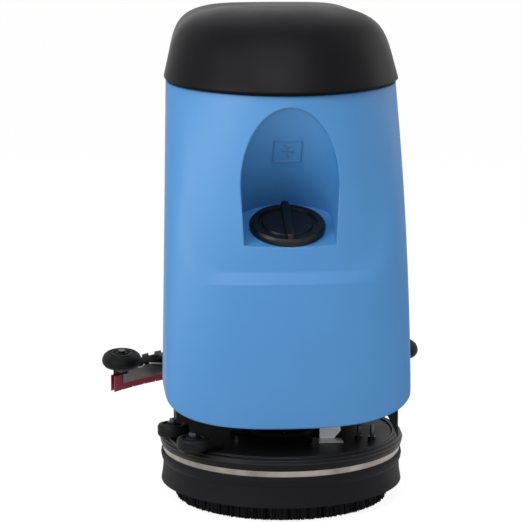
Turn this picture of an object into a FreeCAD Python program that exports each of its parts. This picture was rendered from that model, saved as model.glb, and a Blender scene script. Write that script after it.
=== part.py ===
import FreeCAD, Part
import math
import os

# Walk-behind wet/dry floor scrubber, 500 mm disc brush.  Millimetres, +Z up, front of the machine
# towards -Y.  Every y below is measured from the brush axis; export() moves the finished pieces so
# that the origin lies on the floor in the middle of the machine's length.

V = FreeCAD.Vector
ORIGIN = V(0, 0, 0)
AXIS_X, AXIS_Y, AXIS_Z = V(1, 0, 0), V(0, 1, 0), V(0, 0, 1)

# ---- fits -------------------------------------------------------------------------------------
RUN = 0.08            # radial clearance of a shaft turning in its bore
SEAT = 0.3            # gap round soft pieces and between pieces that are only laid together
OPEN_PIVOT = 0.3      # radial clearance at the one loose pivot of the deck linkage

# ---- overall ----------------------------------------------------------------------------------
BRUSH_AXIS_Y = -296.0   # brush axis in the finished part

# ---- brush and deck ---------------------------------------------------------------------------
BRUSH_R = 250.0
BRISTLE_TOP = 60.0
BLOCK_TOP = 84.0
PAN_TOP = 146.0
PAN_T = 8.0
PAN_WALL_R = BRUSH_R + 16.0
RIM_R = BRUSH_R + 28.0
BAND_H = 13.0
BAND_TOP = 120.0
SKIRT_T = 3.2
SKIRT_FOOT_Z = 38.0
SKIRT_FOOT_R = BRUSH_R + 26.0
DRIVE_SHAFT_R = 12.0
MOTOR_R = 62.0

# ---- deck linkage -----------------------------------------------------------------------------
LINK_REAR_Y, LINK_FRONT_Y = 190.0, 20.0
LINK_LOW_Z, LINK_HIGH_Z = 190.0, 250.0
LINK_X, LINK_T = 95.0, 12.0
LIFT_SHAFT_R, UPPER_SHAFT_R, DECK_PIN_R = 10.0, 8.0, 8.0
DECK_RISE = 24.0      # travel of the deck, kept clear above the pan and its studs

# ---- frame ------------------------------------------------------------------------------------
RAIL_X, RAIL_W = 190.0, 40.0
RAIL_BOTTOM, RAIL_TOP = 205.0, 245.0
RAIL_FRONT_Y, RAIL_REAR_Y = -144.6, 560.0
FLOOR_PLATE_T = 4.0

# ---- running gear -----------------------------------------------------------------------------
WHEEL_R, WHEEL_W, WHEEL_X = 100.0, 46.0, 205.0
AXLE_Y = RIM_R + 44.0
HUB_R, STUB_R = 68.0, 12.0
CASTER_X, CASTER_Y, CASTER_R, CASTER_W, CASTER_TRAIL = 140.0, 480.0, 40.0, 26.0, 25.0
KINGPIN_R, FORK_TOP = 9.0, 130.0
PEDAL_Y = AXLE_Y + WHEEL_R + 8.0

# ---- tank body --------------------------------------------------------------------------------
TANK_LOW_Z, TANK_LOFT_TOP = 190.0, 1010.0
SHOULDER_LOW, SHOULDER_HIGH = 526.0, 553.0
PANEL_RECESS = 13.0
PANEL_CORNER_H = 60.0
TANK_HALF_W, TANK_NARROWING = 272.0, 13.0
TANK_REAR_Y, TANK_SIDE_TAPER, TANK_REAR_R = 445.0, 0.064, 60.0
REAR_BOW = 30.0       # rear walls are drawn bowed out by this much and then trimmed flat
PART_Z, PART_Y, PART_SLOPE = 934.0, -207.0, 0.077     # parting plane under the lid
GASKET_H = 8.7
LID_GAP = 9.0
WALL = 12.0

# ---- niche and filler -------------------------------------------------------------------------
NICHE_HALF_W, NICHE_TOP_Z = 108.0, 910.0
NICHE_BACK_Y, NICHE_BACK_Z, NICHE_LEAN = -46.0, 690.0, 0.70    # rearmost point behind the cap, lean
CAP_TILT = 20.0
CAP_R, CAP_H, NECK_R = 84.0, 18.0, 62.0
CAP_Y, CAP_Z = -135.0, 636.0

# ---- lid --------------------------------------------------------------------------------------
LID_BASE_Z, LID_H, LID_HALF_W, LID_T, LID_REAR_Y = 951.0, 167.0, 265.0, 6.0, 430.0
HINGE_Y, HINGE_Z, HINGE_R = 458.0, 997.0, 4.0

# ---- squeegee (drawn lowered and straight, then swung and raised to its parked place) -----------
ARM_PIVOT_Y, ARM_PIVOT_Z, ARM_PIN_R = 270.0, 200.0, 8.0
SQ_LIFT, SQ_DROOP, SQ_SWING = 23.0, 14.5, 3.3
SQ_R, SQ_MID_Y = 600.0, 663.0
SQ_CENTRE_Y = SQ_MID_Y - SQ_R
SQ_SWIVEL_Y, SWIVEL_R = 596.0, 10.0
CARRIER_Y, CARRIER_Z, CARRIER_PIN_R = 562.0, 104.0, 7.0
BLADE_T, BLADE_TOP = 3.4, 42.0
HEAD_LOW, HEAD_TOP = 14.0, 53.0
FRONT_R = SQ_R + 54.7                          # flatter arc of the front blade: the blades close up
FRONT_CENTRE_Y = SQ_MID_Y - 10.0 - FRONT_R     # towards the ends of the head
BUMPER_R, BUMPER_H, BUMPER_Z = 50.0, 38.0, 68.5
BUMPER_ANGLE, BUMPER_IN = 37.0, 8.0
SUPPORT_R, SUPPORT_W = 28.0, 20.0
SUPPORT_ANGLE, SUPPORT_IN = 24.8, 47.0

# ---- deck bumper rollers ------------------------------------------------------------------------
ROLLER_R, ROLLER_H, ROLLER_Z = 36.0, 27.0, 155.0
ROLLER_SIDE = (-RIM_R + 27.0, -62.0)
ROLLER_FRONT = (-RIM_R + 64.0, -RIM_R + 87.0)
ROLLER_PIN_R = 8.0

# ---- console and handle -----------------------------------------------------------------------
CONSOLE_HALF_W = 165.0
PANEL_MID = V(0, 559, 940)
PANEL_TILT = -19.07
HANDLE_R, HANDLE_Y, HANDLE_Z, HANDLE_HALF_W = 14.0, 856.0, 926.0, 195.0
TUBE_X = 150.0
BAIL_Y, BAIL_Z, BAIL_PIN_R = 800.0, 913.6, 4.0
LEVER_Y, LEVER_Z, LEVER_PIN_R = 520.0, 850.0, 8.0


# ================================================================================== helpers =====
def box(x0, x1, y0, y1, z0, z1):
    return Part.makeBox(x1 - x0, y1 - y0, z1 - z0, V(x0, y0, z0))


def rod(r, p, q):
    d = V(*q) - V(*p)
    return Part.makeCylinder(r, d.Length, V(*p), d)


def pipe(ro, ri, p, q):
    return rod(ro, p, q).cut(rod(ri, p, q))


def join(*shapes):
    whole = shapes[0].multiFuse(list(shapes[1:])) if len(shapes) > 1 else shapes[0]
    return whole.removeSplitter()


def pair(shape):
    return Part.makeCompound([shape, shape.mirror(ORIGIN, AXIS_X)])


def polygon(points):
    return Part.Face(Part.makePolygon(list(points) + [points[0]]))


def prism_x(points, x0, x1):
    return polygon([V(x0, y, z) for y, z in points]).extrude(V(x1 - x0, 0, 0))


def prism_y(points, y0, y1):
    return polygon([V(x, y0, z) for x, z in points]).extrude(V(0, y1 - y0, 0))


def prism_z(points, z0, z1):
    return polygon([V(x, y, z0) for x, y in points]).extrude(V(0, 0, z1 - z0))


def lathe(profile, x=0.0, y=0.0, z=0.0):
    """Solid of revolution about a vertical axis; profile is (radius, height) pairs."""
    face = polygon([V(r, 0, h) for r, h in profile])
    return face.revolve(ORIGIN, AXIS_Z, 360).translated(V(x, y, z))


def lay(shape, axis, angle, at):
    """Turn a piece made round the origin and move it to its place."""
    turned = shape.copy()
    turned.rotate(ORIGIN, axis, angle)
    return turned.translated(at)


def fillet_where(shape, radius, test):
    return shape.makeFillet(radius, [e for e in shape.Edges if test(e)])


def upright_edges(shape, x_min=0.0):
    def test(e):
        b = e.BoundBox
        return b.XLength < 0.01 and b.YLength < 0.01 and b.ZLength > 1 and abs(b.Center.x) >= x_min
    return test


def link_bar(x0, x1, p, q, half_h):
    """Flat bar with round ends between two cross-wise pivots, p and q as (y, z)."""
    dy, dz = q[0] - p[0], q[1] - p[1]
    length = math.hypot(dy, dz)
    ny, nz = -dz / length * half_h, dy / length * half_h
    web = prism_x([(p[0] - ny, p[1] - nz), (q[0] - ny, q[1] - nz),
                   (q[0] + ny, q[1] + nz), (p[0] + ny, p[1] + nz)], x0, x1)
    return join(web, rod(half_h, (x0, p[0], p[1]), (x1, p[0], p[1])),
                rod(half_h, (x0, q[0], q[1]), (x1, q[0], q[1])))


# ============================================================================== plan outlines ====
def half_outline(half_w, y_wide, y_front, y_rear, bulge, taper, rear_r, dent=0.0, dent_x=(1, 2)):
    """Right half of the tank's plan from the front centre to the rear centre."""
    points = []
    steps = 12
    for k in range(steps + 1):
        t = math.radians(90.0 * k / steps)
        x = half_w * math.sin(t) ** (2 / bulge)
        y = y_wide - (y_wide - y_front) * abs(math.cos(t)) ** (2 / bulge)
        if dent:
            s = min(1.0, max(0.0, (dent_x[1] - x) / (dent_x[1] - dent_x[0])))
            y += dent * s * s * (3 - 2 * s)
        points.append((x, y))
    y_turn = y_rear - rear_r
    for k in (1, 2, 3):
        y = y_wide + (y_turn - y_wide) * k / 3
        points.append((half_w - taper * (y - y_wide), y))
    cx = half_w - taper * (y_turn - y_wide) - rear_r
    for a in (30, 60, 90):
        points.append((cx + rear_r * math.cos(math.radians(a)), y_turn + rear_r * math.sin(math.radians(a))))
    return points


def outline_wire(half, z):
    """Closed smooth curve through both halves; it bows out at the rear, where flat_rear trims it."""
    cx, y_rear = half[-1]
    bow = [(cx * f, y_rear + REAR_BOW * (1 - f * f) * cx / TANK_HALF_W) for f in (0.75, 0.5, 0.25)]
    right = half + bow
    ring = [(0.0, y_rear + REAR_BOW * cx / TANK_HALF_W)]
    ring += [(-x, y) for x, y in reversed(right[1:])] + right
    curve = Part.BSplineCurve()
    curve.interpolate([V(x, y, z) for x, y in ring], PeriodicFlag=True)
    return Part.Wire([curve.toShape()])


def flat_rear(shape, y):
    return shape.cut(box(-400, 400, y, y + 100, 0, 1300))


def loft(wires, ruled=False):
    return Part.makeLoft(wires, True, ruled)


def parting_z(y):
    return PART_Z + PART_SLOPE * (y - PART_Y)


def slab(low, high):
    """Everything between two planes parallel to the tank's parting plane."""
    y0, y1 = -400, 700
    return prism_x([(y0, parting_z(y0) + low), (y1, parting_z(y1) + low),
                    (y1, parting_z(y1) + high), (y0, parting_z(y0) + high)], -400, 400)


# ======================================================================================= tank ====
def tank_section(z, upper, inset=0.0):
    t = (z - TANK_LOW_Z) / (PART_Z - TANK_LOW_Z)
    half_w = TANK_HALF_W - TANK_NARROWING * t * t
    y_wide = -180.0 + 185.0 * t * t
    y_front = -230.0 + 22.0 * t * t
    spread = min(1.0, max(0.0, (z - SHOULDER_HIGH) / PANEL_CORNER_H))
    dent = PANEL_RECESS * (1 - 0.55 * t) if upper else 0.0
    dent_x = (130 + 60 * spread, 222 + 28 * spread)
    return half_outline(half_w - inset, y_wide, y_front + inset, TANK_REAR_Y - inset, 2.0 - 0.1 * t,
                        TANK_SIDE_TAPER, TANK_REAR_R - inset, dent, dent_x)


def tank_envelope():
    lower = loft([outline_wire(tank_section(z, False), z)
                  for z in (TANK_LOW_Z, 280, 370, 450, SHOULDER_LOW)])
    shoulder = loft([outline_wire(tank_section(SHOULDER_LOW, False), SHOULDER_LOW),
                     outline_wire(tank_section(SHOULDER_HIGH, True), SHOULDER_HIGH)], True)
    upper = loft([outline_wire(tank_section(z, True), z)
                  for z in (SHOULDER_HIGH, 590, 640, 720, 820, 920, TANK_LOFT_TOP)])
    return flat_rear(join(lower, shoulder, upper), TANK_REAR_Y)


def foot_cut():
    """What is taken away under the tank: low in the middle, rising to round lower corners."""
    reach, rise = 276.0, 95.0
    def edge(x):
        return 205.0 + rise * (1 - (1 - (abs(x) / reach) ** 2.8) ** (1 / 2.8))
    xs = [0, 70, 130, 180, 215, 240, 257, 268, 274, reach]
    line = [V(x, -320, edge(x)) for x in xs]
    curve = Part.BSplineCurve()
    curve.interpolate([V(-p.x, p.y, p.z) for p in reversed(line[1:])] + line)
    a, b = curve.StartPoint, curve.EndPoint
    rim = Part.makePolygon([b, V(320, -320, b.z + 60), V(320, -320, 100), V(-320, -320, 100),
                            V(-320, -320, a.z + 60), a])
    return Part.Face(Part.Wire([curve.toShape()] + rim.Edges)).extrude(V(0, 900, 0))


def niche_cut():
    """Arched recess with a round, leaning back and a shelf that slopes towards the front."""
    half_w, sill_w, low_z, spring_z = NICHE_HALF_W, 98.0, 560.0, 740.0
    arch = Part.Ellipse(V(0, -300, NICHE_TOP_Z), V(half_w, -300, spring_z), V(0, -300, spring_z))
    arch = Part.ArcOfEllipse(arch, -math.pi / 2, math.pi / 2).toShape()
    sill = Part.makePolygon([V(-half_w, -300, spring_z), V(-sill_w, -300, low_z), V(sill_w, -300, low_z),
                             V(half_w, -300, spring_z)])
    opening = Part.Face(Part.Wire([arch] + sill.Edges)).extrude(V(0, 300, 0))
    # round in plan behind the cap, pushed up along the lean of the back
    wide, deep = half_w + 2.0, 86.0
    centre_y = NICHE_BACK_Y - deep + NICHE_LEAN * (NICHE_BACK_Z - low_z)
    back = Part.ArcOfEllipse(Part.Ellipse(V(0, centre_y, low_z), wide, deep), 0, math.pi).toShape()
    rim = Part.makePolygon([V(-wide, centre_y, low_z), V(-wide, -500, low_z), V(wide, -500, low_z),
                            V(wide, centre_y, low_z)])
    hollow = Part.Face(Part.Wire([back] + rim.Edges)).extrude(V(0, -400 * NICHE_LEAN, 400))
    def shelf(y):
        return CAP_Z + math.tan(math.radians(CAP_TILT)) * (y - CAP_Y)
    above = prism_x([(-300, shelf(-300)), (60, shelf(60)), (60, 1000), (-300, 1000)], -130, 130)
    return opening.common(hollow).common(above)


def on_neck(shape):
    """Put a piece made round the origin, filler axis up, onto the leaning filler neck."""
    return lay(shape, AXIS_X, CAP_TILT, V(0, CAP_Y, CAP_Z))


def body_tank():
    tank = tank_envelope().cut(foot_cut())
    tank = tank.cut(slab(0, 200)).cut(niche_cut())
    # underside: deck bay in front, battery bay behind, ledges left on top of the frame rails
    skirt = prism_z([(x, y) for x, y in inner_plan(WALL)], 100, RAIL_TOP)
    ledge = RAIL_X + 5.0
    tank = tank.cut(skirt)
    tank = tank.cut(box(-ledge, ledge, -195, 150.5, RAIL_TOP - 1, 350))
    tank = tank.cut(box(-ledge, ledge, 150, TANK_REAR_Y - WALL, RAIL_TOP - 1, 560))
    tank = tank.cut(box(-214, 214, 400, 470, 100, 300)).cut(box(-300, 300, 60, 500, 100, 242))
    # clean-water cavity, filler neck and the open recovery well under the lid
    tank = tank.cut(box(-170, 170, -190, 40, 364, 590))
    tank = tank.cut(on_neck(rod(NECK_R + 1.0, (0, 0, -75), (0, 0, 5))))
    return tank.cut(recovery_well())


def inner_plan(inset):
    half = tank_section(230.0, False, inset)
    return half + [(-x, y) for x, y in reversed(half[1:])]


def recovery_well():
    half = tank_section(860.0, True, 18.0)
    plan = prism_z(half + [(-x, y) for x, y in reversed(half[1:])], 690, 1010)
    well = plan.common(box(-300, 300, -26, 440, 690, 1010))
    return well


def rim_ring(inset_out, inset_in, low, high):
    ring = []
    for inset in (inset_out, inset_in):
        half = tank_section(950.0, True, inset)
        solid = loft([outline_wire(half, 880), outline_wire(half, 1040)], True)
        ring.append(flat_rear(solid, TANK_REAR_Y - inset))
    return ring[0].cut(ring[1]).common(slab(low, high))


def tank_gasket():
    return rim_ring(4.0, 14.0, 0.0, GASKET_H)


def lid_section(h, inset):
    hh = min(max(h, 0.0), LID_H - 0.05)
    roundness = (1 - (hh / LID_H) ** 6) ** (1 / 3)
    y_wide = 8.0 + 0.3 * hh
    half_w = (LID_HALF_W - 0.235 * hh) * roundness - inset
    y_front = y_wide - (223.0 - 0.10 * hh) * roundness + inset
    y_rear = y_wide + (LID_REAR_Y - y_wide - 0.4 * max(0.0, hh - 60)) * roundness - inset
    taper = TANK_SIDE_TAPER * half_w / LID_HALF_W
    return half_outline(half_w, y_wide, y_front, y_rear, 1.95, taper, 70.0 * roundness)


def tank_lid():
    levels = (-40, 0, 32, 64, 94, 120, 138, 152, 161, 165.3, 166.85)
    outer = loft([outline_wire(lid_section(h, 0.0), LID_BASE_Z + h) for h in levels])
    inner = loft([outline_wire(lid_section(h, LID_T), LID_BASE_Z + h - LID_T) for h in levels])
    lid = flat_rear(outer, LID_REAR_Y).cut(flat_rear(inner, LID_REAR_Y - LID_T))
    return lid.cut(slab(-200, LID_GAP))


def fill_cap():
    rim = lathe([(0, SEAT), (CAP_R - 2, SEAT), (CAP_R, 3), (CAP_R, CAP_H - 5), (CAP_R - 4, CAP_H),
                 (66, CAP_H), (64, CAP_H - 5), (57, CAP_H - 5), (55, CAP_H - 1), (0, CAP_H - 1)])
    plug = rod(NECK_R, (0, 0, -22), (0, 0, SEAT + 1))
    bore = rod(NECK_R - 5, (0, 0, -30), (0, 0, -3))
    grip = box(-9, 9, -80, 80, CAP_H - 6, CAP_H + 11)
    grip = fillet_where(grip, 8.5, upright_edges(grip))
    grip = fillet_where(grip, 4.0, lambda e: e.BoundBox.ZMin > CAP_H + 10.9)
    return on_neck(join(rim, plug, grip).cut(bore))


def hinge_knuckles(spans, leaf):
    barrels = [pipe(HINGE_R + 4, HINGE_R + RUN, (a, HINGE_Y, HINGE_Z), (b, HINGE_Y, HINGE_Z))
               for a, b in spans]
    return join(leaf, *barrels).cut(rod(HINGE_R + RUN, (-120, HINGE_Y, HINGE_Z), (120, HINGE_Y, HINGE_Z)))


def hinge_leaf_tank():
    spans = [(-90, -50), (-20, 20), (50, 90)]
    straps = [box(a, b, TANK_REAR_Y + 0.5, TANK_REAR_Y + 4.5, 962.5, HINGE_Z) for a, b in spans]
    knees = [box(a, b, TANK_REAR_Y + 0.5, HINGE_Y, HINGE_Z - 8, HINGE_Z - 4) for a, b in spans]
    leaf = join(box(-90, 90, TANK_REAR_Y + 0.5, TANK_REAR_Y + 4.5, 962.5, 980), *(straps + knees))
    pin = rod(HINGE_R, (-94, HINGE_Y, HINGE_Z), (94, HINGE_Y, HINGE_Z))
    heads = [rod(HINGE_R + 3, (s * 90, HINGE_Y, HINGE_Z), (s * 95, HINGE_Y, HINGE_Z)) for s in (-1, 1)]
    return join(hinge_knuckles(spans, leaf), pin, *heads)


def hinge_leaf_lid():
    spans = [(-49.5, -20.5), (20.5, 49.5)]
    y0 = 434.3
    knees = [box(a, b, y0, HINGE_Y, HINGE_Z + 4, HINGE_Z + 8) for a, b in spans]
    leaf = join(box(-49.5, 49.5, y0 - 4, y0, HINGE_Z, HINGE_Z + 13), *knees)
    return hinge_knuckles(spans, leaf)


def float_cage():
    x, y, top = 110.0, 330.0, 900.0
    tube = pipe(24, 20, (x, y, 690), (x, y, top))
    cap = rod(34, (x, y, top), (x, y, top + 6))
    cage = pipe(34, 31, (x, y, top - 70), (x, y, top + 1))
    slots = [lay(box(-6, 6, 0, 60, 0, 50), AXIS_Z, a, V(x, y, top - 60)) for a in range(0, 360, 60)]
    foot = rod(36, (x, y, 690), (x, y, 696))
    shell = cage.cut(Part.makeCompound(slots))
    floor = rod(34, (x, y, top - 74), (x, y, top - 70))
    return join(tube, cap, shell, floor, foot).cut(rod(20, (x, y, 680), (x, y, top - 30)))


# ====================================================================================== frame ====
def chassis_frame():
    rail = box(RAIL_X - RAIL_W / 2, RAIL_X + RAIL_W / 2, RAIL_FRONT_Y, RAIL_REAR_Y, RAIL_BOTTOM, RAIL_TOP)
    rail = rail.cut(box(RAIL_X - 17, RAIL_X + 17, RAIL_FRONT_Y - 1, RAIL_FRONT_Y + 60,
                        RAIL_BOTTOM + 3, RAIL_TOP - 3))
    riser = box(100, 180, CASTER_Y - 40, CASTER_Y + 40, FORK_TOP + 0.5, RAIL_BOTTOM)
    riser = riser.cut(box(104, 176, CASTER_Y - 41, CASTER_Y + 41, FORK_TOP + 8, RAIL_BOTTOM - 6))
    riser = riser.cut(rod(KINGPIN_R + RUN, (CASTER_X, CASTER_Y, 100), (CASTER_X, CASTER_Y, 150)))
    hanger = box(128, 136, AXLE_Y - 30, AXLE_Y + 30, 84, RAIL_TOP)
    hanger = hanger.cut(rod(22 + SEAT, (120, AXLE_Y, WHEEL_R), (140, AXLE_Y, WHEEL_R)))
    ear = box(104, 112, 172, 236, PAN_TOP + DECK_RISE + 4, 268)
    ear = ear.cut(rod(LIFT_SHAFT_R + RUN, (100, LINK_REAR_Y, LINK_LOW_Z), (120, LINK_REAR_Y, LINK_LOW_Z)))
    ear = ear.cut(rod(UPPER_SHAFT_R + RUN, (100, LINK_REAR_Y, LINK_HIGH_Z), (120, LINK_REAR_Y, LINK_HIGH_Z)))
    clevis = box(52, 60, 236, 290, 184, RAIL_TOP)
    side = join(rail, riser, hanger, ear, clevis)
    cross = box(-RAIL_X, RAIL_X, 206, 236, RAIL_BOTTOM + 1, RAIL_TOP)
    tray = box(-194, 194, 206, 556, RAIL_TOP - 1, RAIL_TOP + FLOOR_PLATE_T)
    tray = tray.cut(box(-100, 100, 290, 300, 200, 300))
    lip = box(-194, 194, 556, 560, RAIL_TOP - 1, RAIL_TOP + 34)
    notch = box(-54, 54, 546, 561, 200, 300)
    frame = join(side, side.mirror(ORIGIN, AXIS_X), cross, tray, lip).cut(notch)
    return frame.cut(rod(ARM_PIN_R + RUN, (-70, ARM_PIVOT_Y, ARM_PIVOT_Z), (70, ARM_PIVOT_Y, ARM_PIVOT_Z)))


def chassis_shroud():
    """Dark splash plates at the two front corners, cut to an arch over the deck."""
    right = join(box(172, 249, -149, -145, 155, 244.7), box(245, 249, -149, -60, 222, 244.7))
    arch = rod(RIM_R - 14.4, (0, -160, 72.7), (0, -130, 72.7))
    left = join(box(-249, -172, -149, -145, 205, 244.7), box(-249, -245, -149, -60, 222, 244.7))
    return Part.makeCompound([right.cut(arch), left.cut(arch)])


def battery(x0, x1):
    case = box(x0, x1, 240, 428, RAIL_TOP + FLOOR_PLATE_T + 0.3, 456)
    case = fillet_where(case, 5.0, upright_edges(case))
    lid = box(x0 + 3, x1 - 3, 243, 425, 455, 466)
    posts = [rod(8, (x0 + 35, y, 460), (x0 + 35, y, 482)) for y in (270, 398)]
    return join(case, lid, *posts)


def transaxle():
    case = box(-62, 62, AXLE_Y - 34, AXLE_Y + 48, 58, 144)
    case = fillet_where(case, 12.0, lambda e: e.BoundBox.XLength > 100)
    tubes = rod(22, (-170, AXLE_Y, WHEEL_R), (170, AXLE_Y, WHEEL_R))
    motor = join(rod(40, (60, AXLE_Y, WHEEL_R), (116, AXLE_Y, WHEEL_R)),
                 rod(34, (114, AXLE_Y, WHEEL_R), (124, AXLE_Y, WHEEL_R)))
    bores = [rod(STUB_R + RUN, (s * 126, AXLE_Y, WHEEL_R), (s * 175, AXLE_Y, WHEEL_R)) for s in (-1, 1)]
    return join(case, tubes, motor).cut(Part.makeCompound(bores))


def drive_wheel(side):
    x0 = WHEEL_X - WHEEL_W / 2
    hub = lathe([(0, 4), (20, 4), (24, 16), (HUB_R - 12, 18), (HUB_R - 8, 6), (HUB_R, 6),
                 (HUB_R, WHEEL_W - 6), (HUB_R - 8, WHEEL_W - 6), (HUB_R - 12, 30), (26, 30),
                 (22, WHEEL_W - 2), (0, WHEEL_W - 2)])
    stub = rod(STUB_R, (0, 0, -48), (0, 0, 6))
    tyre = lathe([(HUB_R + SEAT, 3), (WHEEL_R - 10, 0), (WHEEL_R - 3, 3), (WHEEL_R, 9),
                  (WHEEL_R, WHEEL_W - 9), (WHEEL_R - 3, WHEEL_W - 3), (WHEEL_R - 10, WHEEL_W),
                  (HUB_R + SEAT, WHEEL_W - 3)])
    place = V(side * x0, AXLE_Y, WHEEL_R)
    return [lay(s, AXIS_Y, 90 * side, place) for s in (join(hub, stub), tyre)]


def caster_fork(side):
    x, y, axle_y = CASTER_X, CASTER_Y, CASTER_Y + CASTER_TRAIL
    crown = rod(27, (x, y, FORK_TOP - 12), (x, y, FORK_TOP))
    top = box(x - 22, x + 22, y - 20, axle_y + 14, FORK_TOP - 18, FORK_TOP - 11)
    cheek = prism_x([(y - 20, FORK_TOP - 12), (axle_y + 14, FORK_TOP - 12), (axle_y + 14, 32),
                     (axle_y - 10, 26), (axle_y - 14, 60)], x + 18, x + 22)
    cheeks = [cheek, cheek.translated(V(-40, 0, 0))]
    pin = rod(KINGPIN_R, (x, y, FORK_TOP - 15), (x, y, FORK_TOP + 16))
    axle = rod(6, (x - 24, axle_y, CASTER_R), (x + 24, axle_y, CASTER_R))
    fork = join(crown, top, pin, axle, *cheeks)
    return fork if side > 0 else fork.mirror(ORIGIN, AXIS_X)


def caster_wheel(side):
    half = CASTER_W / 2
    wheel = lathe([(6 + RUN, -half - 2), (14, -half - 2), (16, -half + 3), (30, -half + 3), (33, -half),
                   (CASTER_R - 3, -half), (CASTER_R, -half + 4), (CASTER_R, half - 4),
                   (CASTER_R - 3, half), (33, half), (30, half - 3), (16, half - 3), (14, half + 2),
                   (6 + RUN, half + 2)])
    return lay(wheel, AXIS_Y, 90, V(side * CASTER_X, CASTER_Y + CASTER_TRAIL, CASTER_R))


# ======================================================================================= deck ====
def deck_pan():
    wall = PAN_WALL_R
    profile = [(34, PAN_TOP), (RIM_R - 26, PAN_TOP), (RIM_R - 22, PAN_TOP + 2), (RIM_R - 10, PAN_TOP + 2),
               (RIM_R - 3, PAN_TOP - 2), (RIM_R, PAN_TOP - 9), (RIM_R, PAN_TOP - 16),
               (RIM_R - 3, BAND_TOP + 1.5), (wall, BAND_TOP + 0.6), (wall, 100), (wall - 5, 100),
               (wall - 5, PAN_TOP - PAN_T - 6), (wall - 11, PAN_TOP - PAN_T), (34, PAN_TOP - PAN_T)]
    return lathe(profile)


def deck_band():
    inner = PAN_WALL_R + SEAT + SKIRT_T + SEAT
    ring = lathe([(inner, BAND_TOP - BAND_H), (inner + 2, BAND_TOP - BAND_H), (inner + 2, BAND_TOP),
                  (inner, BAND_TOP)])
    lug = box(-12, 12, inner + 1, inner + 14, BAND_TOP - BAND_H, BAND_TOP)
    gap = box(-2, 2, inner - 4, inner + 20, BAND_TOP - BAND_H - 1, BAND_TOP + 1)
    return join(ring, lug).cut(gap)


def deck_skirt():
    r = PAN_WALL_R + SEAT
    out = r + SKIRT_T
    low = BAND_TOP - BAND_H - SEAT
    return lathe([(r, BAND_TOP), (out, BAND_TOP), (out, low), (SKIRT_FOOT_R - 1, low),
                  (SKIRT_FOOT_R + 0.5, low - 7), (SKIRT_FOOT_R - 1, low - 16), (out + 1.5, low - 24),
                  (out + 3, 60), (SKIRT_FOOT_R, SKIRT_FOOT_Z), (SKIRT_FOOT_R - 4, SKIRT_FOOT_Z),
                  (out - 3, 60), (out - 4, low - 10), (r, low - 6)])


def brush_motor():
    flange = lathe([(DRIVE_SHAFT_R + 8, PAN_TOP - 4), (33.5, PAN_TOP - 4), (33.5, PAN_TOP), (76, PAN_TOP),
                    (76, PAN_TOP + 10), (66, PAN_TOP + 16), (66, 178), (DRIVE_SHAFT_R + 8, 178)])
    can = lathe([(0, 170), (MOTOR_R - 4, 170), (MOTOR_R, 178), (MOTOR_R, 282), (MOTOR_R - 6, 290),
                 (40, 290), (38, 298), (0, 298)])
    bearing = rod(DRIVE_SHAFT_R + 9, (0, 0, PAN_TOP - 4), (0, 0, 175))
    whole = join(flange, bearing, can)
    return whole.cut(rod(DRIVE_SHAFT_R + RUN, (0, 0, 100), (0, 0, 168)))


def motor_plate():
    """Pale angle plate on the deck beside the motor, with its upright flange."""
    foot = box(72.5, 128, -130, -96, PAN_TOP, PAN_TOP + 3)
    flange = prism_y([(78, PAN_TOP + 2), (110, PAN_TOP + 2), (126, PAN_TOP + 20), (124, PAN_TOP + 42),
                      (78, PAN_TOP + 42)], -99, -96)
    return join(foot, flange)


def deck_bracket():
    ear = box(80, 86, -4, 44, PAN_TOP + 3, 266)
    foot = box(79, 118, -30, 60, PAN_TOP, PAN_TOP + 4)
    low = rod(DECK_PIN_R, (82, LINK_FRONT_Y, LINK_LOW_Z), (104, LINK_FRONT_Y, LINK_LOW_Z))
    high = rod(DECK_PIN_R - OPEN_PIVOT, (82, LINK_FRONT_Y, LINK_HIGH_Z), (104, LINK_FRONT_Y, LINK_HIGH_Z))
    return pair(join(ear, foot, low, high))


def link_pair(z, pin_bore, shaft_r, shaft_end):
    bar = link_bar(LINK_X - LINK_T / 2, LINK_X + LINK_T / 2, (LINK_FRONT_Y, z), (LINK_REAR_Y, z), 14)
    bar = bar.cut(rod(pin_bore, (80, LINK_FRONT_Y, z), (110, LINK_FRONT_Y, z)))
    shaft = rod(shaft_r, (-118, LINK_REAR_Y, z), (shaft_end, LINK_REAR_Y, z))
    return join(bar, bar.mirror(ORIGIN, AXIS_X), shaft)


def lift_arms():
    """Lower deck links, their cross shaft and the foot lever, one weldment."""
    links = link_pair(LINK_LOW_Z, DECK_PIN_R + RUN, LIFT_SHAFT_R, 160)
    lever = link_bar(148, 158, (LINK_REAR_Y, LINK_LOW_Z), (PEDAL_Y + 1, LINK_LOW_Z), 11)
    cross = box(150, 276, PEDAL_Y - 6, PEDAL_Y + 8, LINK_LOW_Z - 8, LINK_LOW_Z + 2)
    tread = box(216, 276, PEDAL_Y - 4, PEDAL_Y + 56, LINK_LOW_Z - 2, LINK_LOW_Z + 2)
    return join(links, lever, cross, tread)


def lift_pedal():
    pad = box(218, 274, PEDAL_Y - 2, PEDAL_Y + 54, LINK_LOW_Z + 2, LINK_LOW_Z + 9)
    for k in range(4):
        y = PEDAL_Y + 6 + 12 * k
        pad = pad.cut(box(217, 275, y, y + 4, LINK_LOW_Z + 7, LINK_LOW_Z + 10))
    return pad


def upper_arms():
    return link_pair(LINK_HIGH_Z, DECK_PIN_R, UPPER_SHAFT_R, 118)


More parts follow.
